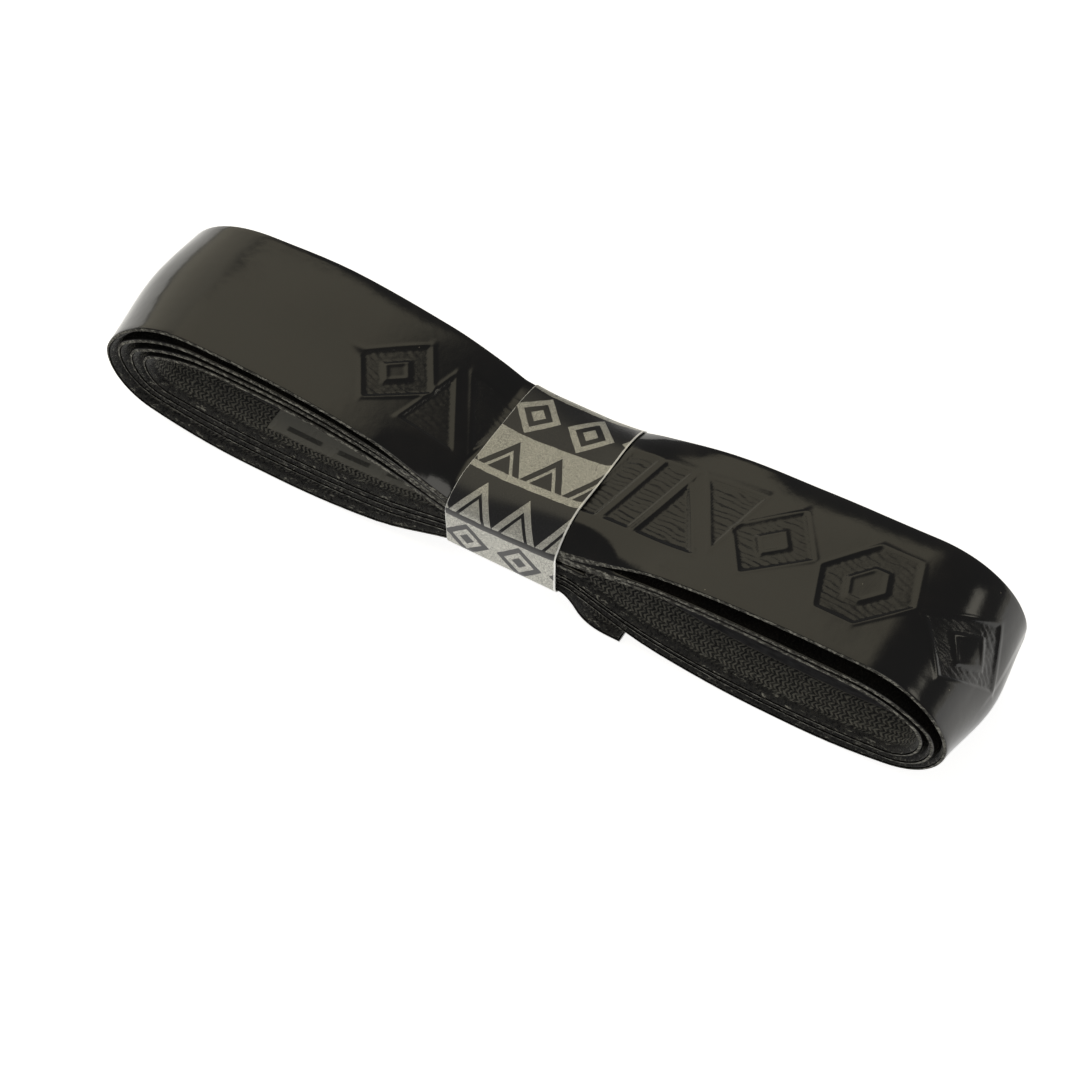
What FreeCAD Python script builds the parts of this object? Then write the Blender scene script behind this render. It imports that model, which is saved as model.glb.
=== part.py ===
"""Replacement racket grip: one long strip of soft grip tape wound flat around itself and held by a paper band.

The strip is a rubbery skin on a felt backing. It is wound with the skin outwards, four turns at the left end
and three at the right, and a paper band pinches the eight layers together in the middle, so that two open
lobes stand to either side. X runs along the roll, Y across the strip and Z up. The origin is on the ground
under the middle of the band. Sizes are in millimetres.
"""
import FreeCAD, Part
import math
import os

SIZES = {
    # The strip and what is laid on it.
    "strip_width": 25.0,
    "skin_thick": 0.6,
    "felt_thick": 0.75,
    "adhesive_width": 12.0,
    "adhesive_thick": 0.08,
    "liner_thick": 0.08,
    "finish_width": 20.0,
    "finish_tape_thick": 0.12,
    "finish_backing_thick": 0.12,
    # How the strip is wound.
    "layer_pitch": 1.68,
    "core_gap": 0.6,
    "half_length": 75.0,
    "middle_height": 12.5,
    "bend_start": 9.9,
    "bend_radius": 3.0,
    "crest_flat": 6.0,
    "left_tip_pitch": 2.4,
    "right_tip_pitch": 1.9,
    # The lobes: height of each crest, its place along the lobe, the roundness of the end, and the slack
    # between the outer turn and the next one.
    "left_top_crest": 26.95,
    "left_top_place": 0.68,
    "left_top_roundness": 0.56,
    "left_top_slack": 0.85,
    "left_bottom_crest": 0.0,
    "left_bottom_place": 0.57,
    "left_bottom_roundness": 0.81,
    "left_bottom_slack": 2.4,
    "right_top_crest": 25.55,
    "right_top_place": 0.72,
    "right_top_roundness": 0.7,
    "right_top_slack": 3.0,
    "right_bottom_crest": 0.0,
    "right_bottom_place": 0.6,
    "right_bottom_roundness": 0.88,
    "right_bottom_slack": 0.7,
    # The two ends of the strip, and the finishing tape that is tucked inside.
    "outer_end": 20.6,
    "inner_end": 13.8,
    "finish_left": -46.0,
    "finish_right": 9.0,
    # The paper band.
    "band_length": 19.6,
    "band_clearance": 0.3,
    "paper_thick": 0.25,
    "glue_thick": 0.1,
    "seam_width": 9.0,
    "seam_fold": 1.5,
}
LEFT_TURNS = 4
TOP, BOTTOM = 1, -1

doc = FreeCAD.newDocument("grip_tape_roll")
sheet = doc.addObject("Spreadsheet::Sheet", "sizes")
for row, (alias, value) in enumerate(SIZES.items(), start=1):
    sheet.set(f"A{row}", alias)
    sheet.set(f"B{row}", str(value))
    sheet.setAlias(f"B{row}", alias)
doc.recompute()


def size(name):
    """Read one driving dimension from the sheet."""
    return float(sheet.get(name))


def half_stack():
    """Half the height of the eight pinched layers."""
    return LEFT_TURNS * size("layer_pitch") + size("core_gap") / 2


def crest_height(side, face, turn):
    """Height of the outer face of one turn where its lobe is tallest or lowest."""
    name = f"{side}_{'top' if face == TOP else 'bottom'}"
    inset = turn * size("layer_pitch") + (size(f"{name}_slack") if turn else 0)
    return size(f"{name}_crest") - face * inset


def tip_height(side, turn):
    """Height of the end of one turn: the outer turn's is the roll's middle, the others' is midway."""
    if turn == 0:
        return size("middle_height")
    return (crest_height(side, TOP, turn) + crest_height(side, BOTTOM, turn)) / 2


def s_bend(run, reach, low, high, radius):
    """Two tangent arcs that leave the flat waist and arrive flat at the crest, as (centre, radius, turn)."""
    rise = high - low
    span = reach - run
    total = (span ** 2 + rise ** 2) / (2 * rise)
    turn = math.atan2(span, total - rise)
    return (run, low + radius), (reach, high - total + radius), total - radius, turn


def half_run(side, face, layer, turn, depth):
    """Segments from the waist to the tip of one half of a turn, at a depth below the strip's outer face.

    Each segment is a tuple of two points (a line) or three (an arc), in order from the waist outwards.
    """
    name = f"{side}_{'top' if face == TOP else 'bottom'}"
    along = -1 if side == "left" else 1
    middle = tip_height(side, turn)
    waist = size("middle_height") + face * (half_stack() - layer * size("layer_pitch"))
    low = face * (waist - middle)
    high = face * (crest_height(side, face, turn) - middle)
    reach = size("half_length") - turn * size(f"{side}_tip_pitch")
    crest = size(f"{name}_place") * reach
    radius = size("bend_radius") + layer * size("layer_pitch")
    inner, outer, outer_radius, lift = s_bend(size("bend_start"), crest, low, high, radius)
    flat_end = crest + size("crest_flat")
    tip_radius = size(f"{name}_roundness") * high
    span = reach - tip_radius - flat_end
    shoulder = (span ** 2 + high ** 2 - tip_radius ** 2) / (2 * (high - tip_radius))
    sweep = math.atan2(span, shoulder - high)

    def place(x, up):
        return FreeCAD.Vector(along * x, 0, middle + face * up)

    def arc(centre, arc_radius, start, stop):
        angles = (start, (start + stop) / 2, stop)
        return tuple(place(centre[0] + arc_radius * math.sin(a), centre[1] + arc_radius * math.cos(a))
                     for a in angles)

    return [
        (place(0, low - depth), place(size("bend_start"), low - depth)),
        arc(inner, radius + depth, math.pi, math.pi - lift),
        arc(outer, outer_radius - depth, -lift, 0),
        (place(crest, high - depth), place(flat_end, high - depth)),
        arc((flat_end, high - shoulder), shoulder - depth, 0, sweep),
        arc((reach - tip_radius, 0), tip_radius - depth, sweep, math.pi / 2),
    ]


def flap(depth):
    """Segments of the strip's outer end, from the waist to where it touches the ground."""
    low = -half_stack()
    radius = size("bend_radius")
    inner, outer, outer_radius, lift = s_bend(
        size("bend_start"), size("outer_end"), -low, size("middle_height"), radius)

    def arc(centre, arc_radius, start, stop):
        angles = (start, (start + stop) / 2, stop)
        return tuple(FreeCAD.Vector(centre[0] + arc_radius * math.sin(a), 0,
                                    size("middle_height") - centre[1] - arc_radius * math.cos(a))
                     for a in angles)

    waist = size("middle_height") + low + depth
    return [
        (FreeCAD.Vector(0, 0, waist), FreeCAD.Vector(size("bend_start"), 0, waist)),
        arc(inner, radius + depth, math.pi, math.pi - lift),
        arc(outer, outer_radius - depth, -lift, 0),
    ]


def backwards(segments):
    """The same segments, walked the other way."""
    return [tuple(reversed(points)) for points in reversed(segments)]


def spiral(depth):
    """The whole wound strip at one depth, from its outer end to its inner end."""
    path = backwards(flap(depth))
    for turn in range(LEFT_TURNS):
        path += half_run("left", BOTTOM, turn, turn, depth)
        path += backwards(half_run("left", TOP, turn, turn, depth))
        if turn < LEFT_TURNS - 1:
            path += half_run("right", TOP, turn, turn, depth)
            path += backwards(half_run("right", BOTTOM, turn + 1, turn, depth))
    height = size("middle_height") + size("core_gap") / 2 + size("layer_pitch") - depth
    path.append((FreeCAD.Vector(0, 0, height), FreeCAD.Vector(size("inner_end"), 0, height)))
    return path


def edge(points):
    """A straight edge for two points, an arc for three."""
    if len(points) == 2:
        return Part.makeLine(*points)
    return Part.Arc(*points).toShape()


def ribbon_section(path, top_depth, bottom_depth):
    """The flat face between one path at two depths."""
    outside = path(top_depth)
    inside = path(bottom_depth)
    closing = [(outside[-1][-1], inside[-1][-1]), (inside[0][0], outside[0][0])]
    edges = [edge(points) for points in outside + closing[:1] + backwards(inside) + closing[1:]]
    return Part.Face(Part.Wire(edges))


def section(name, path, top_depth, bottom_depth):
    """A document object that holds the section of one ribbon, in the plane across the strip's middle."""
    profile = doc.addObject("Part::Feature", name)
    profile.Shape = ribbon_section(path, top_depth, bottom_depth)
    return profile


def ribbon(name, profile, width):
    """A ribbon: its section, given its width to both sides of the middle."""
    body = doc.addObject("Part::Extrusion", name)
    body.Base = profile
    body.DirMode = "Custom"
    body.Dir = FreeCAD.Vector(0, 1, 0)
    body.Solid = True
    body.Symmetric = True
    body.setExpression("LengthFwd", f"sizes.{width}")
    body.Label = name
    return body


def box(name, lengths, corner):
    """A box whose three lengths and lowest corner are formulas of the sheet."""
    block = doc.addObject("Part::Box", name)
    for prop, formula in zip(("Length", "Width", "Height"), lengths):
        block.setExpression(prop, formula)
    for axis, formula in zip("xyz", corner):
        block.setExpression(f"Placement.Base.{axis}", formula)
    return block


def inner_run(depth):
    """The upper face of the lowest inner layer, where the finishing tape lies, from its left to the waist."""
    left = half_run("left", BOTTOM, LEFT_TURNS - 1, LEFT_TURNS - 1, depth)[:3]
    waist_end = left[0][0] + FreeCAD.Vector(size("finish_right"), 0, 0)
    return backwards(left) + [(left[0][0], waist_end)]


def finishing_piece(name, top_depth, bottom_depth):
    """One layer of the finishing tape, cut to its length from a ribbon that follows the inner layer."""
    profile = section(f"{name}_section", inner_run, top_depth, bottom_depth)
    long_ribbon = ribbon(f"{name}_ribbon", profile, "finish_width")
    window = box(f"{name}_window",
                 ("sizes.finish_right - sizes.finish_left", "2 * sizes.strip_width",
                  "2 * sizes.middle_height"),
                 ("sizes.finish_left", "-sizes.strip_width", "0"))
    piece = doc.addObject("Part::Common", name)
    piece.Base = long_ribbon
    piece.Tool = window
    piece.Label = name
    return piece


def paper_band():
    """The band: a hollow sleeve of paper whose end laps over itself underneath."""
    half_high = "(4 * sizes.layer_pitch + sizes.core_gap / 2 + sizes.band_clearance)"
    half_wide = "(sizes.strip_width / 2 + sizes.band_clearance)"
    start = "-sizes.band_length / 2"
    outside = box("band_outside",
                  ("sizes.band_length", f"2 * ({half_wide} + sizes.paper_thick)",
                   f"2 * ({half_high} + sizes.paper_thick)"),
                  (start, f"-{half_wide} - sizes.paper_thick",
                   f"sizes.middle_height - {half_high} - sizes.paper_thick"))
    inside = box("band_inside",
                 ("2 * sizes.band_length", f"2 * {half_wide}", f"2 * {half_high}"),
                 ("-sizes.band_length", f"-{half_wide}", f"sizes.middle_height - {half_high}"))
    sleeve = doc.addObject("Part::Cut", "band_sleeve")
    sleeve.Base, sleeve.Tool = outside, inside
    under = f"sizes.middle_height - {half_high} - sizes.paper_thick"
    lap = box("band_lap",
              ("sizes.band_length", "sizes.seam_width", "sizes.paper_thick"),
              (start, "-sizes.seam_width / 2", f"{under} - sizes.glue_thick - sizes.paper_thick"))
    fold = box("band_fold",
               ("sizes.band_length", "sizes.seam_fold", "sizes.glue_thick"),
               (start, "sizes.seam_width / 2 - sizes.seam_fold", f"{under} - sizes.glue_thick"))
    band = doc.addObject("Part::MultiFuse", "paper_band")
    band.Shapes = [sleeve, fold, lap]
    band.Label = "paper_band"
    glue = box("seam_glue",
               ("sizes.band_length", "sizes.seam_width - sizes.seam_fold", "sizes.glue_thick"),
               (start, "-sizes.seam_width / 2", f"{under} - sizes.glue_thick"))
    glue.Label = "seam_glue"
    return [band, glue]


def strip_layers():
    """The wound strip and the two narrow layers on its felt, each from the outer end to the inner end."""
    layers = [
        ("grip_skin", "strip_width", "skin_thick"),
        ("felt_backing", "strip_width", "felt_thick"),
        ("adhesive_strip", "adhesive_width", "adhesive_thick"),
        ("release_liner", "adhesive_width", "liner_thick"),
    ]
    depth = 0.0
    made = []
    for name, width, thickness in layers:
        below = depth + size(thickness)
        made.append(ribbon(name, section(f"{name}_section", spiral, depth, below), width))
        depth = below
    return made, depth


layers, laid = strip_layers()
tape_depth = laid + size("finish_backing_thick")
pieces = layers + [
    finishing_piece("tape_backing", laid, tape_depth),
    finishing_piece("finishing_tape", tape_depth, tape_depth + size("finish_tape_thick")),
] + paper_band()
doc.recompute()

for item in doc.Objects:
    if "Invalid" in item.State or "Error" in item.State:
        raise RuntimeError(f"{item.Name} failed: {item.State}")
for piece in pieces:
    if piece.Shape.isNull() or not piece.Shape.isValid():
        raise RuntimeError(f"{piece.Label} has no valid shape")

os.makedirs("parts", exist_ok=True)
for piece in pieces:
    piece.Shape.exportStep(f"parts/{piece.Label}.step")
    print(f"{piece.Label}: {piece.Shape.Volume:.1f} mm3, {len(piece.Shape.Solids)} solid")
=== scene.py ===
"""Looks of a replacement racket grip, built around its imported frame.

The grip is one strip of soft tape, a glossy skin on a woven felt, wound flat into a roll with two open
lobes and pinched at the waist by a printed paper band. Every soft layer is a sheet that follows the same
wound path. Path sizes are in millimetres and are turned into metres where a mesh is made.
"""

import logging
import math
from dataclasses import dataclass, field
from enum import Enum
from typing import Callable, Sequence

import bpy
import numpy as np
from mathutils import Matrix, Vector


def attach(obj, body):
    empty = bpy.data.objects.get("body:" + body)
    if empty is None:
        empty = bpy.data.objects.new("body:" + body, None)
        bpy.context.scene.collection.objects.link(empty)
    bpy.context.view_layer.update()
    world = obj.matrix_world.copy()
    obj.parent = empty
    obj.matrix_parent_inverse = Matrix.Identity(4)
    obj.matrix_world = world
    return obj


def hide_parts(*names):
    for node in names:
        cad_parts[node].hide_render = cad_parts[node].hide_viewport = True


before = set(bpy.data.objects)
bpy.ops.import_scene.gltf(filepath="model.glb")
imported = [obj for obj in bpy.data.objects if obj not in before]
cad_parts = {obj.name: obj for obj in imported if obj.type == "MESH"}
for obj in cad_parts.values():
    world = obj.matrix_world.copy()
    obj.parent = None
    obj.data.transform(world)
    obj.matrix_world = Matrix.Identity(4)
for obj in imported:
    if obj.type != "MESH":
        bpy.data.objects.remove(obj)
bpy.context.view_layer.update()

LOG = logging.getLogger("racket_grip")
MM = 0.001
RIPPLE_WAVES = 5
RIPPLE_SCALE = 3.2
CORNER_STEPS = 5
SHARPEST_DEGREES = 50
Array = np.ndarray


class Side(Enum):
    """The two ends of the roll: four turns on the left, three on the right."""

    LEFT = -1
    RIGHT = 1


class Face(Enum):
    """The upper and the lower half of a turn."""

    TOP = 1
    BOTTOM = -1


def smooth(value: Array, low: float, high: float) -> Array:
    """Rise smoothly from 0 at low to 1 at high.

    Args:
        value: The numbers to map.
        low: Where the rise starts.
        high: Where the rise ends; it may be below low, and then the result falls.

    Returns:
        Numbers from 0 to 1.
    """
    part = np.clip((np.asarray(value, dtype=float) - low) / (high - low), 0.0, 1.0)
    return part * part * (3.0 - 2.0 * part)


def hump(value: Array, low: float, peak: float, high: float) -> Array:
    """A smooth hill that is 1 at peak and 0 at low and high and beyond."""
    return np.minimum(smooth(value, low, peak), smooth(value, high, peak))


def ripple(u: Array, v: Array, length: float, seed: float) -> Array:
    """Gentle unevenness: a few crossed waves of about one length, the same each time.

    Args:
        u: First coordinate, in millimetres.
        v: Second coordinate, in millimetres.
        length: The usual length of a wave, in millimetres.
        seed: Shifts the waves so that two ripples differ.

    Returns:
        Numbers from about -1 to 1.
    """
    total = 0.0
    for wave in range(RIPPLE_WAVES):
        turn = seed * 2.4 + wave * 1.9
        pitch = length * (0.7 + 0.23 * wave)
        along = u * math.cos(turn) + v * math.sin(turn)
        total = total + np.sin(2 * math.pi * along / pitch + seed * 7.3 + wave * 2.1)
    return total / RIPPLE_SCALE


@dataclass(frozen=True)
class Lobe:
    """One half of one lobe, in millimetres: its outer turn, and the slack under it."""

    crest: float
    place: float
    roundness: float
    slack: float


@dataclass
class WoundPath:
    """The line that the strip's outer face follows, from its outer end to its inner end, in millimetres."""

    half_length: float = 75.0
    middle: float = 12.5
    pitch: float = 1.68
    core_gap: float = 0.6
    bend_start: float = 9.9
    bend_radius: float = 3.0
    crest_flat: float = 6.0
    outer_end: float = 20.6
    inner_end: float = 13.8
    turns: int = 4
    sample: float = 0.1
    tip_pitch: dict = field(default_factory=lambda: {Side.LEFT: 2.4, Side.RIGHT: 1.9})
    lobes: dict = field(default_factory=lambda: {
        (Side.LEFT, Face.TOP): Lobe(26.95, 0.68, 0.56, 0.85),
        (Side.LEFT, Face.BOTTOM): Lobe(0.0, 0.57, 0.81, 2.4),
        (Side.RIGHT, Face.TOP): Lobe(25.55, 0.72, 0.7, 3.0),
        (Side.RIGHT, Face.BOTTOM): Lobe(0.0, 0.6, 0.88, 0.7),
    })

    def __post_init__(self) -> None:
        """Walk the whole path once and keep it as rows of x, z, outward normal, stack share and length."""
        rows = np.concatenate(self._spiral())
        step = np.hypot(np.diff(rows[:, 0]), np.diff(rows[:, 1]))
        keep = np.concatenate([[True], step > 1e-6])
        self.rows = rows[keep]
        step = np.hypot(np.diff(self.rows[:, 0]), np.diff(self.rows[:, 1]))
        self.reach = np.concatenate([[0.0], np.cumsum(step)])

    @property
    def length(self) -> float:
        """Length of the strip's outer face."""
        return float(self.reach[-1])

    @property
    def half_stack(self) -> float:
        """Half the height of the pinched layers."""
        return self.turns * self.pitch + self.core_gap / 2

    def _crest(self, side: Side, face: Face, turn: int) -> float:
        """Height of one turn's outer face where its lobe is tallest or lowest."""
        lobe = self.lobes[(side, face)]
        return lobe.crest - face.value * (turn * self.pitch + (lobe.slack if turn else 0.0))

    def _tip(self, side: Side, turn: int) -> float:
        """Height of the end of one turn.

        Args:
            side: Which lobe.
            turn: The turn, counted from the outside.

        Returns:
            The height halfway between the turn's top and bottom crests.
        """
        if turn == 0:
            return self.middle
        return (self._crest(side, Face.TOP, turn) + self._crest(side, Face.BOTTOM, turn)) / 2

    def _line(self, start: tuple, end: tuple) -> Array:
        """A straight stretch that faces outwards, as rows of x, height and normal.

        Args:
            start: First point, as x and height.
            end: Last point.

        Returns:
            The rows.
        """
        count = max(2, int(abs(end[0] - start[0]) / self.sample))
        x = np.linspace(start[0], end[0], count)
        z = np.linspace(start[1], end[1], count)
        return np.stack([x, z, np.zeros(count), np.ones(count)], axis=1)

    def _arc(self, centre: tuple, radius: float, start: float, stop: float, facing: int) -> Array:
        """A round stretch; facing is 1 where it bulges outwards and -1 where it is hollow.

        Args:
            centre: Centre of the arc.
            radius: Its radius.
            start: First angle, clockwise from straight up, in radians.
            stop: Last angle.
            facing: 1 where the strip bulges outwards, -1 where it is hollow.

        Returns:
            Rows of x, height and normal.
        """
        count = max(12, int(abs(stop - start) * radius / self.sample))
        turn = np.linspace(start, stop, count)
        ray = np.stack([np.sin(turn), np.cos(turn)], axis=1)
        return np.concatenate([np.array(centre) + radius * ray, facing * ray], axis=1)

    def _s_bend(self, reach: float, low: float, high: float, radius: float) -> list[Array]:
        """The bend away from the waist and the arc that brings the strip to its crest.

        Args:
            reach: Place along the roll where the crest begins.
            low: Height at the waist.
            high: Height of the crest.
            radius: Radius of the bend at the waist.

        Returns:
            The straight waist, the hollow bend and the arc to the crest.
        """
        rise = high - low
        span = reach - self.bend_start
        total = (span ** 2 + rise ** 2) / (2 * rise)
        lift = math.atan2(span, total - rise)
        return [
            self._line((0.0, low), (self.bend_start, low)),
            self._arc((self.bend_start, low + radius), radius, math.pi, math.pi - lift, -1),
            self._arc((reach, high - total + radius), total - radius, -lift, 0.0, 1),
        ]

    def _place(self, pieces: list[Array], side: Side, face: Face, middle: float, layer: int) -> Array:
        """Turn local rows, drawn up and to the right, into the half of the roll that they belong to.

        Args:
            pieces: Stretches in order, each as rows of x, height and normal.
            side: End of the roll.
            face: Upper or lower half.
            middle: Height about which the half is drawn.
            layer: Layer of the stack at the waist, from 0 outside.

        Returns:
            Rows of x, z, outward normal and stack share.
        """
        rows = np.concatenate(pieces)
        share = face.value * (self.turns - layer) / self.turns
        placed = np.stack([
            side.value * rows[:, 0], middle + face.value * rows[:, 1],
            side.value * rows[:, 2], face.value * rows[:, 3], np.full(len(rows), share)], axis=1)
        return placed

    def _half_run(self, side: Side, face: Face, layer: int, turn: int) -> Array:
        """One half of one turn, from the waist to its tip.

        Args:
            side: End of the roll.
            face: Upper or lower half.
            layer: Layer of the stack at the waist, from 0 outside.
            turn: Number of the turn, from 0 outside.

        Returns:
            Rows from the waist to the tip.
        """
        lobe = self.lobes[(side, face)]
        middle = self._tip(side, turn)
        waist = self.middle + face.value * (self.half_stack - layer * self.pitch)
        low = face.value * (waist - middle)
        high = face.value * (self._crest(side, face, turn) - middle)
        reach = self.half_length - turn * self.tip_pitch[side]
        crest = lobe.place * reach
        radius = self.bend_radius + layer * self.pitch
        flat_end = crest + self.crest_flat
        tip_radius = lobe.roundness * high
        span = reach - tip_radius - flat_end
        shoulder = (span ** 2 + high ** 2 - tip_radius ** 2) / (2 * (high - tip_radius))
        sweep = math.atan2(span, shoulder - high)
        pieces = self._s_bend(crest, low, high, radius) + [
            self._line((crest, high), (flat_end, high)),
            self._arc((flat_end, high - shoulder), shoulder, 0.0, sweep, 1),
            self._arc((reach - tip_radius, 0.0), tip_radius, sweep, math.pi / 2, 1),
        ]
        return self._place(pieces, side, face, middle, layer)

    def _spiral(self) -> list[Array]:
        """All the halves in order, from the outer end to the inner end.

        Returns:
            The points of each half, in the order of the winding.
        """
        bend = self._s_bend(self.outer_end, self.half_stack, self.middle, self.bend_radius)
        path = [self._place(bend, Side.RIGHT, Face.BOTTOM, self.middle, 0)[::-1]]
        for turn in range(self.turns):
            path.append(self._half_run(Side.LEFT, Face.BOTTOM, turn, turn))
            path.append(self._half_run(Side.LEFT, Face.TOP, turn, turn)[::-1])
            if turn < self.turns - 1:
                path.append(self._half_run(Side.RIGHT, Face.TOP, turn, turn))
                path.append(self._half_run(Side.RIGHT, Face.BOTTOM, turn + 1, turn)[::-1])
        inner = self.core_gap / 2 + self.pitch
        last = [self._line((0.0, inner), (self.inner_end, inner))]
        path.append(self._place(last, Side.RIGHT, Face.TOP, self.middle, self.turns - 1))
        return path

    def at(self, run: Array) -> tuple[Array, Array, Array, Array, Array]:
        """Look up the path at lengths along it.

        Args:
            run: Lengths from the strip's outer end, in millimetres.

        Returns:
            x, z, the outward normal's x and z, and the share of the stack that a pinch moves.
        """
        columns = [np.interp(run, self.reach, self.rows[:, column]) for column in range(5)]
        size = np.hypot(columns[2], columns[3])
        return columns[0], columns[1], columns[2] / size, columns[3] / size, columns[4]

    def crossing(self, number: int) -> float:
        """Length along the strip where it passes the middle of the waist for the given time, from 0."""
        signs = np.where(np.diff(np.sign(self.rows[:, 0] + 1e-9)) != 0)[0]
        return float(self.reach[signs[number]])

    def stations(self, start: float, stop: float, longest: float, bend: float,
                 fine: tuple[float, float, float] | None = None) -> Array:
        """Choose where the rows of a sheet lie: close together in a bend, far apart on the straight.

        Args:
            start: First length, in millimetres.
            stop: Last length.
            longest: The largest step.
            bend: The most that the strip may turn in a step, in radians.
            fine: First length, last length and step of a stretch that carries relief.

        Returns:
            Increasing lengths, both ends included.
        """
        probe = np.linspace(start, stop, max(8, int((stop - start) / 0.25)))
        _, _, nx, nz, _ = self.at(probe)
        turned = np.abs(np.diff(np.unwrap(np.arctan2(nz, nx)))) / np.diff(probe)
        density = np.maximum(1.0 / longest, turned / bend)
        if fine:
            inside = (probe[1:] > fine[0]) & (probe[1:] < fine[1])
            density = np.where(inside, np.maximum(density, 1.0 / fine[2]), density)
        total = np.concatenate([[0.0], np.cumsum(density * np.diff(probe))])
        count = max(2, int(math.ceil(total[-1])) + 1)
        return np.interp(np.linspace(0.0, total[-1], count), total, probe)


# The pinched waist and the small unevenness of a soft roll ---------------------------------------------


@dataclass(frozen=True)
class Drape:
    """How the soft roll differs from its plain path: pressed edges, a domed waist and unevenness, in mm."""

    edge_start: float = 6.0
    edge_half: float = 12.5
    edge_most: float = 1.3
    front_press: float = 2.9
    rear_press: float = 0.5
    under_press: float = 0.9
    waist_end: float = 11.0
    left_fade: float = 24.0
    right_fade: float = 27.0
    dome: float = 1.7
    dome_hill: tuple = (-7.0, 10.5, 26.0)
    squeeze: float = 0.02
    wave: float = 0.22
    wave_length: float = 47.0
    wave_rise: tuple = (14.0, 40.0)
    curl: float = 0.95
    curl_start: float = 3.5
    curl_swell: float = 0.45
    curl_swell_rise: tuple = (-4.0, 12.5)
    left_curl_hill: tuple = (-56.0, -30.0, -10.0)
    right_curl_rise: tuple = (28.0, 42.0)
    rear_lift: float = 1.15
    rear_lift_rise: tuple = (-6.0, 13.0)
    rear_lift_from_waist: tuple = (4.0, 15.0)
    rear_lift_left_fade: tuple = (62.0, 40.0)
    rear_lift_right_rise: tuple = (50.0, 68.0)
    rear_bulge: float = 1.6
    rear_bulge_rise: tuple = (50.0, 75.0)
    right_belly: float = 2.6
    right_belly_rise: tuple = (58.0, 73.0)
    right_belly_width: tuple = (-15.0, 1.0, 17.0)
    right_belly_height: tuple = (-5.0, 5.5, 17.0)
    left_belly: float = 1.7
    left_belly_rise: tuple = (55.0, 73.0)
    left_belly_width: tuple = (-15.0, 2.0, 19.0)
    flap_drop: float = 1.7
    flap_hill: tuple = (9.2, 13.5, 21.0)
    flap_run: float = 14.0
    sway: float = 0.3
    sway_length: float = 190.0

    def move(self, x: Array, y: Array, z: Array, share: Array, run: Array) -> tuple[Array, Array, Array]:
        """Move points of the plain roll to where the real one has them.

        Args:
            x: Places along the roll.
            y: Places across the strip.
            z: Heights.
            share: Part of the stack that a pinch moves: 1 on the top layer, -1 on the lowest.
            run: Lengths along the strip.

        Returns:
            The moved x, y and z.
        """
        left, right = smooth(-x, self.left_fade, self.waist_end), smooth(x, self.right_fade, self.waist_end)
        waist = np.where(x < 0, left, right)
        height = self._press(x, y, z, share, waist) + self.wave * (
            ripple(x, y, self.wave_length, 1.0) * smooth(np.abs(x), *self.wave_rise))
        height = self._raise_rear(x, y, height, np.clip(share, 0, 1))
        height = height - self.flap_drop * hump(x, *self.flap_hill) * (run < self.flap_run)
        slid = y * (1.0 - self.squeeze * waist) + self.sway * ripple(run, 0.0 * y, self.sway_length, 3.0)
        return x + self._bulge(x, y, z), slid, np.clip(height, 0.0, None)

    def _press(self, x: Array, y: Array, z: Array, share: Array, waist: Array) -> Array:
        """Press the edges of the stack together at the waist and dome its middle.

        Args:
            x: Places along the roll.
            y: Places across the strip.
            z: Plain heights.
            share: Part of the stack that a pinch moves.
            waist: 1 at the waist, 0 in the open lobes.

        Returns:
            The new heights.
        """
        edge = (np.abs(y) - self.edge_start) / (self.edge_half - self.edge_start)
        edge = np.clip(edge, 0.0, self.edge_most) ** 2
        press = np.where(share > 0, np.where(y < 0, self.front_press, self.rear_press), self.under_press)
        middle = (1.0 - np.clip(edge, 0.0, 1.0)) * np.clip(share, 0, 1)
        return z - share * press * edge * waist + self.dome * hump(x, *self.dome_hill) * middle

    def _raise_rear(self, x: Array, y: Array, height: Array, above: Array) -> Array:
        """Lift the rear of the upper turns and curl its very edge down.

        Args:
            x: Places along the roll.
            y: Places across the strip.
            height: Heights so far.
            above: 1 on the top layer, 0 on the lower half.

        Returns:
            The new heights.
        """
        curled = hump(x, *self.left_curl_hill) + smooth(x, *self.right_curl_rise)
        bent = np.clip((y - self.curl_start) / (self.edge_half - self.curl_start), 0.0, None) ** 2
        swell = self.curl_swell * self.curl * above * curled * smooth(y, *self.curl_swell_rise)
        near_waist = smooth(np.abs(x), *self.rear_lift_from_waist)
        tilted = smooth(y, *self.rear_lift_rise) * near_waist * smooth(-x, *self.rear_lift_left_fade)
        more = 1.0 + 0.5 * smooth(x, *self.rear_lift_right_rise)
        return height - self.curl * above * bent * curled + swell + self.rear_lift * above * tilted * more

    def _bulge(self, x: Array, y: Array, z: Array) -> Array:
        """How far the two ends stand out past the plain roll.

        Args:
            x: Places along the roll.
            y: Places across the strip.
            z: Plain heights.

        Returns:
            Distances along the roll.
        """
        rear = smooth(x, *self.rear_bulge_rise) * (0.5 + y / (2 * self.edge_half))
        right = smooth(x, *self.right_belly_rise) * hump(y, *self.right_belly_width)
        right = right * hump(z, *self.right_belly_height)
        left = smooth(-x, *self.left_belly_rise) * hump(y, *self.left_belly_width)
        return self.rear_bulge * rear + self.right_belly * right - self.left_belly * left


# Generic relief of the skin ----------------------------------------------------------------------------


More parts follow.
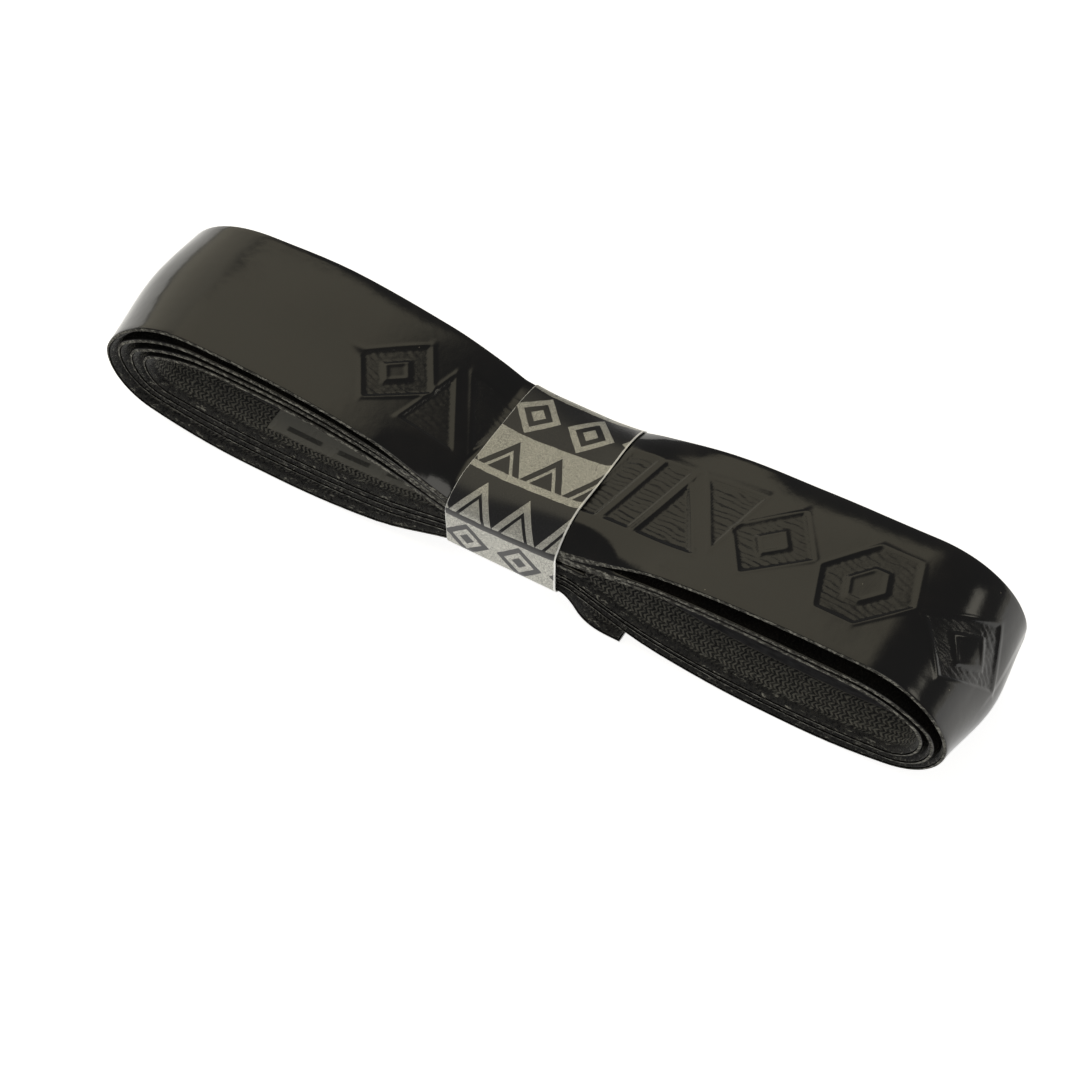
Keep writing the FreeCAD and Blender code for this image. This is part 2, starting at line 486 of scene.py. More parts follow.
def outline(u: Array, v: Array, corners: Sequence[tuple[float, float]]) -> Array:
    """Signed distance from points to a convex shape, negative inside.

    Args:
        u: First coordinate of the points.
        v: Second coordinate.
        corners: The shape's corners, anticlockwise.

    Returns:
        The distance to the nearest side; outside a corner it is a little less than the true one.
    """
    distance = np.full(np.broadcast(u, v).shape, -1e9)
    for here, there in zip(corners, list(corners[1:]) + [corners[0]]):
        across = np.array([there[1] - here[1], here[0] - there[0]], dtype=float)
        across /= np.hypot(*across)
        distance = np.maximum(distance, (u - here[0]) * across[0] + (v - here[1]) * across[1])
    return distance


class Figure(Enum):
    """Plain geometric figures pressed into the skin."""

    RHOMBUS = "hollow rhombus"
    BARS = "slanted bars"
    WEDGES = "split wedges"
    HEXAGON = "hollow hexagon"


@dataclass(frozen=True)
class Emboss:
    """A row of figures pressed into the skin and the fine ridges inside them, in millimetres."""

    tall: float = 13.4
    slant: float = 0.32
    stroke: float = 3.5
    depth: float = 0.27
    wall: float = 0.5
    lip: float = 0.1
    ridge: float = 0.06
    ridge_pitch: float = 0.92
    ridge_level: float = 0.6
    swirl: float = 0.34
    swirl_length: float = 4.2
    drift: float = 0.1
    floor_rise: tuple = (0.3, 0.75)
    rim_hill: tuple = (-0.1, 0.3, 0.9)
    rhombus_stroke: float = 2.8
    hexagon_top: float = 0.42
    wedge_gap: float = 1.6
    wedge_cut: float = 2.4
    bar_pitch: float = 4.6
    bar_gap: float = 1.3

    def _figure(self, kind: Figure, u: Array, v: Array, wide: float) -> Array:
        """Signed distance to one figure centred on the origin, negative inside.

        Args:
            kind: The figure.
            u: Places along the figure.
            v: Places up the figure.
            wide: Its width.

        Returns:
            Distances in millimetres.
        """
        w, t = wide / 2, self.tall / 2
        if kind is Figure.RHOMBUS:
            outer = outline(u, v, [(w, 0), (0, t), (-w, 0), (0, -t)])
            return np.maximum(outer, -(outer + self.rhombus_stroke))
        if kind is Figure.HEXAGON:
            c = w * self.hexagon_top
            outer = outline(u, v, [(w, 0), (c, t), (-c, t), (-w, 0), (-c, -t), (c, -t)])
            return np.maximum(outer, -(outer + self.stroke))
        if kind is Figure.WEDGES:
            low = outline(u, v, [(-w, -t), (w - self.wedge_gap, -t), (-w, t - self.wedge_cut)])
            high = outline(u, v, [(w, t), (-w + self.wedge_gap, t), (w, -t + self.wedge_cut)])
            return np.minimum(low, high)
        count = max(2, round(wide / self.bar_pitch))
        pitch = wide / count
        cell = (u + w) % pitch - pitch / 2
        bar = np.maximum(np.abs(cell) - (pitch - self.bar_gap) / 2, np.abs(v) - t)
        return np.maximum(bar, np.abs(u) - w)

    def field(self, x: Array, y: Array) -> tuple[Array, Array]:
        """Depth of the relief and how far a point lies inside a figure.

        Args:
            x: Places along the top of the roll, measured over the surface.
            y: Places across the strip.

        Returns:
            Depth below the plain skin in millimetres, and a mask that is 1 inside the figures.
        """
        depth = np.zeros(np.broadcast(x, y).shape)
        mask = np.zeros_like(depth)
        for kind, left, right, middle in ROW_OF_FIGURES:
            v = y - middle
            u = x - (left + right) / 2 - self.slant * v
            distance = self._figure(kind, u, v, right - left)
            inside = smooth(-distance, 0.0, self.wall)
            swirl = self.swirl * ripple(u + left, v, self.swirl_length, 2.0) + self.drift * u
            ridges = np.sin(2 * math.pi * (v + swirl) / self.ridge_pitch)
            floor = smooth(-distance, *self.floor_rise)
            rim = hump(distance, *self.rim_hill)
            depth += self.depth * inside - self.ridge * floor * (ridges + self.ridge_level) - self.lip * rim
            mask = np.maximum(mask, inside)
        return depth, mask


ROW_OF_FIGURES = (
    (Figure.RHOMBUS, -33.8, -21.0, 0.2),
    (Figure.WEDGES, -20.8, -9.4, 0.4),
    (Figure.BARS, 9.6, 21.0, 0.2),
    (Figure.WEDGES, 21.8, 33.0, 0.2),
    (Figure.RHOMBUS, 33.0, 46.4, 0.2),
    (Figure.HEXAGON, 48.0, 62.6, 0.0),
    (Figure.RHOMBUS, 64.4, 82.0, 0.0),
)


# Sheets that follow the path ---------------------------------------------------------------------------


@dataclass
class Section:
    """A closed outline across a strip: places across it and depths below the strip's outer face, in mm.

    The outline runs along the outer face from front to rear and comes back along the inner face.
    """

    across: Array
    depth: Array
    outer: int

    @classmethod
    def strip(cls, half: float, top: float, bottom: float, columns: int, edge: float, bevel: float = 0.0,
              fine: tuple[float, int] | None = None) -> "Section":
        """Outline of a flat strip with rounded or bevelled edges.

        Args:
            half: Half the strip's width.
            top: Depth of its outer face.
            bottom: Depth of its inner face.
            columns: Number of points across each face.
            edge: Radius of the edge of the outer face.
            bevel: How far the inner face stops short of the outer one at each side.
            fine: Half width of a finer middle part and its number of columns.

        Returns:
            The outline.
        """
        flat = half - edge
        if fine:
            side = np.linspace(fine[0], flat, columns)[1:]
            middle = np.linspace(-fine[0], fine[0], fine[1])
            outer = np.concatenate([-side[::-1], middle, side])
        else:
            outer = np.linspace(-flat, flat, columns)
        turn = np.linspace(0, math.pi / 2, CORNER_STEPS)[1:]
        round_y = flat + edge * np.sin(turn)
        round_d = top + edge * (1 - np.cos(turn))
        inner = np.linspace(half - bevel, -(half - bevel), columns)
        inner_d = np.full(columns, bottom)
        soft = min(0.12, (bottom - top) / 4)
        inner_d[[0, -1]] -= soft
        inner[0] += soft * 0.5
        inner[-1] -= soft * 0.5
        across = np.concatenate([-round_y[::-1], outer, round_y, inner])
        depth = np.concatenate([round_d[::-1], np.full(len(outer), top), round_d, inner_d])
        return cls(across, depth, len(outer) + 2 * len(turn))


@dataclass
class Sheet:
    """A thin layer made as a closed mesh by carrying a section along the wound path."""

    name: str
    path: WoundPath
    drape: Drape
    section: Section

    def build(self, runs: Array, relief: Callable | None = None) -> bpy.types.Object:
        """Make the mesh, with a UV map that gives millimetres across and along the strip.

        Args:
            runs: Lengths along the strip at which there is a row of points.
            relief: Gives the outer face's extra depth and a mask, from length and place across.

        Returns:
            The new object.
        """
        x, z, nx, nz, share = (part[:, None] for part in self.path.at(runs))
        run = runs[:, None]
        across = np.tile(self.section.across, (len(runs), 1))
        depth = np.tile(self.section.depth, (len(runs), 1))
        mask = np.zeros_like(depth)
        if relief:
            extra, mask = relief(run, across)
            faces_out = np.zeros(depth.shape[1])
            faces_out[:self.section.outer] = 1.0
            depth += extra * faces_out
            mask = mask * faces_out
        place_x = x - nx * depth
        place_z = z - nz * depth
        px, py, pz = self.drape.move(place_x, across, place_z, share, run)
        points = np.stack([px, py, pz], axis=-1).reshape(-1, 3) * MM
        along = np.broadcast_to(run, across.shape)
        return closed_tube(self.name, points, across.shape, across, along, mask)


def closed_tube(name: str, points: Array, shape: tuple[int, int], u: Array, v: Array,
                mask: Array) -> bpy.types.Object:
    """Make a closed mesh from rows of points, each row a closed outline, with flat ends.

    Args:
        name: The object's name.
        points: All the points, row after row, in metres.
        shape: Number of rows and points in a row.
        u: UV across, for each point.
        v: UV along, for each point.
        mask: Value of the "pressed" attribute at each point.

    Returns:
        The new object, linked to the scene.
    """
    rows, around = shape
    first = (np.arange(rows - 1)[:, None] * around + np.arange(around)[None, :]).ravel()
    beside = (np.arange(rows - 1)[:, None] * around + (np.arange(around)[None, :] + 1) % around).ravel()
    quads = np.stack([first, beside, beside + around, first + around], axis=1)
    faces = [tuple(face) for face in quads.tolist()]
    half = around // 2
    for start, flip in ((0, True), ((rows - 1) * around, False)):
        for step in range(half - 1 + around % 2):
            low, high = start + step, start + around - 1 - step
            if high - low > 2:
                cap = (low, low + 1, high - 1, high)
            elif high - low == 2:
                cap = (low, low + 1, high)
            else:
                continue
            faces.append(cap if not flip else cap[::-1])
    mesh = bpy.data.meshes.new(name)
    mesh.from_pydata(points.tolist(), [], faces)
    corners = np.empty(len(mesh.loops), dtype=np.int32)
    mesh.loops.foreach_get("vertex_index", corners)
    layer = mesh.uv_layers.new(name="strip")
    uv = np.stack([u.ravel()[corners], v.ravel()[corners]], axis=1)
    layer.data.foreach_set("uv", uv.astype(np.float32).ravel())
    attribute = mesh.attributes.new("pressed", "FLOAT", "POINT")
    attribute.data.foreach_set("value", mask.ravel().astype(np.float32))
    mesh.update()
    piece = bpy.data.objects.new(name, mesh)
    bpy.context.collection.objects.link(piece)
    outwards(piece)
    return piece


def outwards(piece: bpy.types.Object) -> None:
    """Turn a closed mesh's faces outwards and shade it smooth up to sharp edges.

    Args:
        piece: The object to mend.
    """
    bpy.ops.object.select_all(action="DESELECT")
    piece.select_set(True)
    bpy.context.view_layer.objects.active = piece
    bpy.ops.object.mode_set(mode="EDIT")
    bpy.ops.mesh.select_all(action="SELECT")
    bpy.ops.mesh.normals_make_consistent(inside=False)
    bpy.ops.object.mode_set(mode="OBJECT")
    bpy.ops.object.shade_smooth_by_angle(angle=math.radians(SHARPEST_DEGREES))
    piece.select_set(False)


# Node fields -------------------------------------------------------------------------------------------


class Field:
    """A number that varies over a surface, held as a node socket, that can be used like a number."""

    def __init__(self, tree: bpy.types.NodeTree, socket: bpy.types.NodeSocket) -> None:
        """Wrap a socket of a node tree."""
        self.tree = tree
        self.socket = socket

    def _math(self, operation: str, *values: "Field | float") -> "Field":
        """Make a Math node with this field first.

        Args:
            operation: Name of the operation.
            *values: Fields or plain numbers that it works on.

        Returns:
            The result.
        """
        node = self.tree.nodes.new("ShaderNodeMath")
        node.operation = operation
        for slot, value in zip(node.inputs, (self, *values)):
            if isinstance(value, Field):
                self.tree.links.new(value.socket, slot)
            else:
                slot.default_value = value
        return Field(self.tree, node.outputs[0])

    def __add__(self, other: "Field | float") -> "Field":
        """Sum."""
        return self._math("ADD", other)

    def __sub__(self, other: "Field | float") -> "Field":
        """Difference."""
        return self._math("SUBTRACT", other)

    def __mul__(self, other: "Field | float") -> "Field":
        """Product."""
        return self._math("MULTIPLY", other)

    def __neg__(self) -> "Field":
        """Opposite."""
        return self._math("MULTIPLY", -1.0)

    def absolute(self) -> "Field":
        """Distance from zero."""
        return self._math("ABSOLUTE")

    def sine(self) -> "Field":
        """Sine of the field in radians."""
        return self._math("SINE")

    def part(self) -> "Field":
        """What is left after whole numbers."""
        return self._math("FRACT")

    def whole(self) -> "Field":
        """The whole number below."""
        return self._math("FLOOR")

    def lower(self, other: "Field | float") -> "Field":
        """The smaller of two."""
        return self._math("MINIMUM", other)

    def higher(self, other: "Field | float") -> "Field":
        """The larger of two."""
        return self._math("MAXIMUM", other)

    def ramp(self, low: float, high: float, first: float = 0.0, last: float = 1.0) -> "Field":
        """Go smoothly from first, where the field is low, to last, where it is high.

        Args:
            low: Value that gives first.
            high: Value that gives last.
            first: Result at low and before it.
            last: Result at high and past it.

        Returns:
            The mapped field.
        """
        node = self.tree.nodes.new("ShaderNodeMapRange")
        node.interpolation_type = "SMOOTHSTEP"
        self.tree.links.new(self.socket, node.inputs[0])
        for slot, value in zip(node.inputs[1:5], (low, high, first, last)):
            slot.default_value = value
        return Field(self.tree, node.outputs[0])


class Shading:
    """A new material and the parts that its finish is made of."""

    def __init__(self, name: str, colour: tuple[float, float, float], roughness: float,
                 **uniform: float) -> None:
        """Start a material with the values that are the same all over the surface.

        Args:
            name: The material's name.
            colour: Plain colour, used until a pattern takes its place.
            roughness: Plain roughness.
            **uniform: Other values, by the socket's name with underscores for spaces.
        """
        self.material = bpy.data.materials.new(name)
        self.material.use_nodes = True
        self.tree = self.material.node_tree
        self.shader = next(node for node in self.tree.nodes if node.type == "BSDF_PRINCIPLED")
        self.shader.inputs["Base Color"].default_value = (*colour, 1.0)
        self.shader.inputs["Roughness"].default_value = roughness
        for socket, value in uniform.items():
            self.shader.inputs[socket.replace("_", " ")].default_value = value
        self.coordinates = self.tree.nodes.new("ShaderNodeTexCoord")

    def strip(self) -> tuple[Field, Field]:
        """Millimetres across and along the sheet, from its own UV map.

        Returns:
            The field across the sheet and the field along it.
        """
        node = self.tree.nodes.new("ShaderNodeUVMap")
        node.uv_map = "strip"
        split = self.tree.nodes.new("ShaderNodeSeparateXYZ")
        self.tree.links.new(node.outputs[0], split.inputs[0])
        return Field(self.tree, split.outputs[0]), Field(self.tree, split.outputs[1])

    def attribute(self, name: str) -> Field:
        """A value stored on the mesh's points.

        Args:
            name: The name that the value is stored under.

        Returns:
            The value as a field.
        """
        node = self.tree.nodes.new("ShaderNodeAttribute")
        node.attribute_name = name
        return Field(self.tree, node.outputs["Fac"])

    def noise(self, size: float, detail: float = 2.0, roughness: float = 0.5,
              stretch: tuple[float, float, float] = (1.0, 1.0, 1.0)) -> Field:
        """Soft noise in Object coordinates.

        Args:
            size: Usual size of a spot, in millimetres.
            detail: How many finer layers it has.
            roughness: How strong the finer layers are.
            stretch: Scale of the coordinates on each axis; under 1 draws the spots out.

        Returns:
            A field from 0 to 1.
        """
        mapping = self.tree.nodes.new("ShaderNodeMapping")
        mapping.inputs["Scale"].default_value = stretch
        self.tree.links.new(self.coordinates.outputs["Object"], mapping.inputs[0])
        node = self.tree.nodes.new("ShaderNodeTexNoise")
        node.inputs["Scale"].default_value = 1.0 / (size * MM)
        node.inputs["Detail"].default_value = detail
        node.inputs["Roughness"].default_value = roughness
        self.tree.links.new(mapping.outputs[0], node.inputs["Vector"])
        return Field(self.tree, node.outputs[0])

    def speckle(self, spacing: float, density: float) -> Field:
        """Tiny scattered specks: 1 on a speck, 0 elsewhere.

        Args:
            spacing: Usual distance between the places where a speck may lie, in millimetres.
            density: Share of those places that carry one.

        Returns:
            The field.
        """
        node = self.tree.nodes.new("ShaderNodeTexVoronoi")
        node.inputs["Scale"].default_value = 1.0 / (spacing * MM)
        self.tree.links.new(self.coordinates.outputs["Object"], node.inputs["Vector"])
        split = self.tree.nodes.new("ShaderNodeSeparateColor")
        self.tree.links.new(node.outputs["Color"], split.inputs[0])
        near = Field(self.tree, node.outputs["Distance"]).ramp(0.02, 0.08, 1.0, 0.0)
        chosen = Field(self.tree, split.outputs[0]).ramp(1.0 - density, 1.0 - density + 0.005)
        return near * chosen

    def paint(self, colour: bpy.types.NodeSocket) -> None:
        """Colour the surface from a colour socket."""
        self.tree.links.new(colour, self.shader.inputs["Base Color"])

    def blend_colour(self, amount: Field, low: tuple[float, float, float],
                     high: tuple[float, float, float]) -> None:
        """Colour the surface from low to high by a field."""
        self.paint(self.mix(amount, low, high))

    def mix(self, amount: Field, low: "tuple | bpy.types.NodeSocket",
            high: "tuple | bpy.types.NodeSocket") -> bpy.types.NodeSocket:
        """Mix two colours, or two colour sockets, by a field.

        Args:
            amount: 0 for the first colour, 1 for the second.
            low: First colour or its socket.
            high: Second colour or its socket.

        Returns:
            The socket of the mixed colour.
        """
        node = self.tree.nodes.new("ShaderNodeMix")
        node.data_type = "RGBA"
        self.tree.links.new(amount.socket, node.inputs[0])
        for slot, value in ((node.inputs[6], low), (node.inputs[7], high)):
            if isinstance(value, bpy.types.NodeSocket):
                self.tree.links.new(value, slot)
            else:
                slot.default_value = (*value, 1.0)
        return node.outputs[2]

    def drive(self, socket: str, value: Field) -> None:
        """Let a field set one of the shader's values."""
        self.tree.links.new(value.socket, self.shader.inputs[socket])

    def relief(self, height: Field, millimetres: float, strength: float = 1.0) -> None:
        """Add fine surface relief from a field whose full range is the given height.

        Args:
            height: The field.
            millimetres: Height of its full range.
            strength: How much of it is used.
        """
        node = self.tree.nodes.new("ShaderNodeBump")
        node.inputs["Strength"].default_value = strength
        node.inputs["Distance"].default_value = millimetres * MM
        self.tree.links.new(height.socket, node.inputs["Height"])
        self.tree.links.new(node.outputs[0], self.shader.inputs["Normal"])


# Finishes ----------------------------------------------------------------------------------------------


@dataclass(frozen=True)
class GlossySkin:
    """Black polyurethane skin: glossy, finely grained, duller in the marks, with a little dust."""

    colour: tuple = (0.0040, 0.0037, 0.0034)
    worn: tuple = (0.0075, 0.0062, 0.0052)
    dust: tuple = (0.16, 0.145, 0.12)
    dust_spacing: float = 2.0
    dust_share: float = 0.05
    smoothest: float = 0.1
    roughest: float = 0.2
    marks_roughness: float = 0.14
    cloud_size: float = 9.0
    grain_height: float = 0.16
    sway_height: float = 2.4
    worm_height: float = 1.5
    relief: float = 0.06

    def material(self) -> bpy.types.Material:
        """Make the material.

        Returns:
            The glossy skin, with dust, worn clouds and duller marks.
        """
        shading = Shading("black_glossy_skin", self.colour, self.smoothest, Specular_IOR_Level=0.5, IOR=1.5)
        pressed = shading.attribute("pressed")
        cloud = shading.noise(self.cloud_size, 3.0, 0.6)
        plain = shading.mix(cloud.ramp(0.4, 0.75), self.colour, self.worn)
        shading.paint(shading.mix(shading.speckle(self.dust_spacing, self.dust_share), plain, self.dust))
        shading.drive("Roughness",
                      cloud.ramp(0.3, 0.8, self.smoothest, self.roughest) + pressed * self.marks_roughness)
        grain = shading.noise(0.5, 3.0, 0.65) * self.grain_height
        sway = shading.noise(self.cloud_size, 3.0, 0.55) * self.sway_height
        worms = shading.noise(0.6, 2.0, 0.5, (0.5, 1.0, 1.0)) * pressed * self.worm_height
        shading.relief(grain + sway + worms, self.relief, 0.8)
        return shading.material


@dataclass(frozen=True)
class CutSkinEdge:
    """The skin where it was slit to width: rough and dull, with pale torn spots."""

    colour: tuple = (0.030, 0.029, 0.026)
    torn: tuple = (0.25, 0.245, 0.215)
    roughness: float = 0.75
    relief: float = 0.06

    def material(self) -> bpy.types.Material:
        """Make the material.

        Returns:
            The slit edge, dark with torn pale spots.
        """
        shading = Shading("cut_skin_edge", self.colour, self.roughness, Specular_IOR_Level=0.12)
        grain = shading.noise(0.38, 3.0, 0.8, (0.45, 1.0, 1.0))
        shading.blend_colour(grain.ramp(0.44, 0.66), self.colour, self.torn)
        shading.relief(grain, self.relief, 0.8)
        return shading.material


@dataclass(frozen=True)
class WovenFelt:
    """Black needled felt with a herringbone knit, painted highlight on the raised knit, painted shade in its
    grooves, and loose grey fibres.
    """

    colour: tuple = (0.003, 0.003, 0.003)
    # Painted highlight: the colour given to the raised knit and pile.
    raised_highlight: tuple = (0.27, 0.262, 0.225)
    fibre: tuple = (0.46, 0.45, 0.39)
    column: float = 1.15
    stitch: float = 0.8
    chevron: float = 0.75
    wander: float = 0.7
    wander_size: float = 1.6
    stitch_wander: float = 1.9
    knit_height: float = 0.85
    pile_height: float = 0.55
    knit_edge: tuple = (10.7, 11.4)
    bevel: tuple = (10.9, 11.8)
    lint_share: tuple = (0.45, 0.9)
    relief: float = 0.26

    def material(self) -> bpy.types.Material:
        """Make the material.

        Returns:
            The felt, with its columns of stitches and its bevelled, linty edge.
        """
        shading = Shading("black_woven_felt", self.colour, 0.88, Sheen_Weight=0.25, Sheen_Roughness=0.5,
                          Specular_IOR_Level=0.25)
        across, along = shading.strip()
        wobble = shading.noise(self.wander_size, 2.0) * self.wander
        zigzag = ((across + wobble) * (1.0 / self.column)).part() - 0.5
        slant = zigzag.absolute() * 2.0
        phase = along * (1.0 / self.stitch) + slant * self.chevron + wobble * self.stitch_wander
        weave = (phase * (2 * math.pi)).sine()
        rib = slant.ramp(0.75, 1.0, 1.0, 0.35)
        knit = across.absolute().ramp(*self.knit_edge, 1.0, 0.0)
        pile = shading.noise(0.5, 4.0, 0.85).ramp(0.4, 0.62)
        height = weave.ramp(-1.0, 1.0) * rib * knit * self.knit_height + pile * self.pile_height
        lint = shading.noise(0.6, 4.0, 0.85, (0.3, 1.0, 1.0)).ramp(0.57, 0.66)
        # Painted light and shade: the colour follows the knit's height, lighter on the raised threads and
        # pile and black in the grooves between them.
        knit_light_and_shade = shading.mix(height.ramp(0.3, 1.25), self.colour, self.raised_highlight)
        loose = lint * across.absolute().ramp(*self.bevel, *self.lint_share)
        shading.paint(shading.mix(loose, knit_light_and_shade, self.fibre))
        shading.relief(height, self.relief)
        return shading.material


@dataclass(frozen=True)
class MottledFilm:
    """A thin film whose tone varies softly from a thin to a dense colour. Spots and relief are in mm."""

    name: str
    thin: tuple
    dense: tuple
    roughness: float
    spot: float
    detail: float
    grit: float = 0.5
    dense_from: float = 0.7
    stretch: tuple = (1.0, 1.0, 1.0)
    relief: float = 0.03
    index: float = 1.5

    def material(self) -> bpy.types.Material:
        """Make the material.

        Returns:
            The film, in its thin and its dense tone.
        """
        shading = Shading(self.name, self.thin, self.roughness, IOR=self.index)
        spots = shading.noise(self.spot, self.detail, self.grit, self.stretch)
        shading.blend_colour(spots.ramp(0.3, self.dense_from), self.thin, self.dense)
        shading.relief(spots, self.relief, 0.5)
        return shading.material


ADHESIVE = MottledFilm("tacky_adhesive", (0.10, 0.097, 0.09), (0.20, 0.195, 0.18), roughness=0.35, spot=0.8,
                       detail=2.0, index=1.47)
BACKING = MottledFilm("tape_backing_paper", (0.14, 0.135, 0.12), (0.27, 0.26, 0.235), roughness=0.6, spot=0.4,
                      detail=3.0, grit=0.65, dense_from=0.75, stretch=(0.3, 1.0, 1.0))
GLUE = MottledFilm("dried_seam_glue", (0.34, 0.30, 0.22), (0.50, 0.46, 0.36), roughness=0.3, spot=0.7,
                   detail=3.0, relief=0.04)


@dataclass(frozen=True)
class ReleasePaper:
    """Dark silicone-coated paper with a faint fibre and gentle waves."""

    thin: tuple = (0.035, 0.035, 0.038)
    dense: tuple = (0.085, 0.085, 0.09)
    smoothest: float = 0.3
    roughest: float = 0.5
    relief: float = 0.05

    def material(self) -> bpy.types.Material:
        """Make the material.

        Returns:
            The liner, with long fine fibres.
        """
        shading = Shading("release_paper", self.thin, self.smoothest)
        fibre = shading.noise(0.5, 3.0, 0.6, (0.25, 1.0, 1.0))
        shading.blend_colour(fibre.ramp(0.3, 0.75), self.thin, self.dense)
        shading.drive("Roughness", fibre.ramp(0.2, 0.8, self.smoothest, self.roughest))
        shading.relief(fibre + shading.noise(6.0) * 0.7, self.relief, 0.5)
        return shading.material


@dataclass(frozen=True)
class DashedTape:
    """Smooth dark finishing tape, printed with rows of short darker dashes."""

    colour: tuple = (0.25, 0.245, 0.22)
    dash: tuple = (0.085, 0.084, 0.078)
    row: float = 3.4
    step: float = 9.5
    row_shift: float = 0.37
    smoothest: float = 0.2
    roughest: float = 0.34
    relief: float = 0.03

    def material(self) -> bpy.types.Material:
        """Make the material.

        Returns:
            The tape, with its rows of dark dashes.
        """
        shading = Shading("dashed_finishing_tape", self.colour, self.smoothest)
        across, along = shading.strip()
        line = across * (1.0 / self.row)
        shifted = along * (1.0 / self.step) + line.whole() * self.row_shift + shading.noise(5.0) * 0.12
        gap = (line.part() - 0.5).absolute().ramp(0.10, 0.17, 1.0, 0.0)
        length = (shifted.part() - 0.5).absolute().ramp(0.30, 0.36, 1.0, 0.0)
        dashes = gap * length
        shading.blend_colour(dashes, self.colour, self.dash)
        shading.drive("Roughness", shading.noise(3.0).ramp(0.3, 0.7, self.smoothest, self.roughest))
        shading.relief(shading.noise(0.6, 2.0) + dashes, self.relief, 0.5)
        return shading.material


@dataclass(frozen=True)
class PrintedPaper:
    """Band paper printed with black and sparkling silver blocks, with plain figures in the other tone."""

    ink: tuple = (0.012, 0.012, 0.013)
    silver: tuple = (0.19, 0.19, 0.175)
    bright: tuple = (0.64, 0.63, 0.575)
    worn_ink: tuple = (0.03, 0.03, 0.032)
    paper: tuple = (0.80, 0.80, 0.78)
    block: float = 8.95
    half_wide: float = 9.6
    cut_width: float = 0.07
    metal: float = 0.55
    ink_roughness: float = 0.22
    silver_roughness: float = 0.42
    relief: float = 0.03
    rhombus_pitch: float = 9.4
    rhombus_half: float = 4.1
    ring: float = 0.82
    ring_edge: tuple = (0.15, 0.19)
    dot_edge: tuple = (0.3, 0.34)
    row_shift: float = 0.37
    start: float = 0.14
    wedge_pitch: float = 7.6
    wedge_shift: float = 1.6
    wedge_slope: float = 12.8
    wedge_side: tuple = (3.0, 3.15)
    wedge_half: tuple = (3.2, 3.32)
    stripe: float = 0.6
    stripe_edge: tuple = (0.45, 0.55)

    def material(self) -> bpy.types.Material:
        """Make the material.

        Returns:
            The paper, with its printed blocks, figures and borders.
        """
        shading = Shading("printed_band_paper", self.silver, self.silver_roughness)
        along, around = shading.strip()
        place = around * (1.0 / self.block)
        number = place.whole()
        odd = (number * 0.5).part().ramp(0.2, 0.3)
        v = (place.part() - 0.5) * self.block
        figure = self._figures(along, v, number)
        tone = (odd - figure).absolute()
        sparkle = shading.noise(0.13, 2.0, 0.8)
        silver = shading.mix(sparkle.ramp(0.38, 0.62), self.silver, self.bright)
        ink = shading.mix(sparkle.ramp(0.55, 0.8), self.ink, self.worn_ink)
        printed = shading.mix(tone, ink, silver)
        frayed = (along + shading.noise(1.1, 3.0) * 0.22).absolute()
        cut = frayed.ramp(self.half_wide, self.half_wide + self.cut_width)
        outside = shading.attribute("pressed")
        shading.paint(shading.mix(((-outside + 1.0) + cut).lower(1.0), printed, self.paper))
        shading.drive("Metallic", tone * outside * self.metal)
        shading.drive("Roughness",
                      tone.ramp(0.0, 1.0, self.ink_roughness, self.silver_roughness) + sparkle * 0.08)
        shading.relief(sparkle * 0.6 + tone * 0.35 + shading.noise(5.0) * 1.2, self.relief, 0.5)
        return shading.material

    def _figures(self, u: Field, v: Field, number: Field) -> Field:
        """Plain figures, one kind for each two blocks: nested rhombi and a row of split wedges.

        Args:
            u: Millimetres along the roll.
            v: Millimetres around the band from the middle of its block.
            number: Number of the block.

        Returns:
            A field that is 1 inside a figure.
        """
        kind = ((number + 1.0) * 0.25).part().ramp(0.45, 0.5)
        shifted = u * (1.0 / self.rhombus_pitch) + kind * self.row_shift + self.start
        cell = (shifted.part() - 0.5) * self.rhombus_pitch
        reach = cell.absolute() * (1.0 / self.rhombus_half) + v.absolute() * (1.0 / self.rhombus_half)
        dot = reach.ramp(*self.dot_edge, 1.0, 0.0)
        ring = (reach - self.ring).absolute().ramp(*self.ring_edge, 1.0, 0.0).higher(dot)
        peak = ((u + self.wedge_shift) * (1.0 / self.wedge_pitch)).part() - 0.5
        rise = peak.absolute() * self.wedge_slope - v
        wedge = rise.ramp(*self.wedge_side, 1.0, 0.0) * v.absolute().ramp(*self.wedge_half, 1.0, 0.0)
        core = (rise - self.stripe).absolute().ramp(*self.stripe_edge)
        return ring * (-kind + 1.0) + wedge * core * kind


# Pieces of the grip ------------------------------------------------------------------------------------


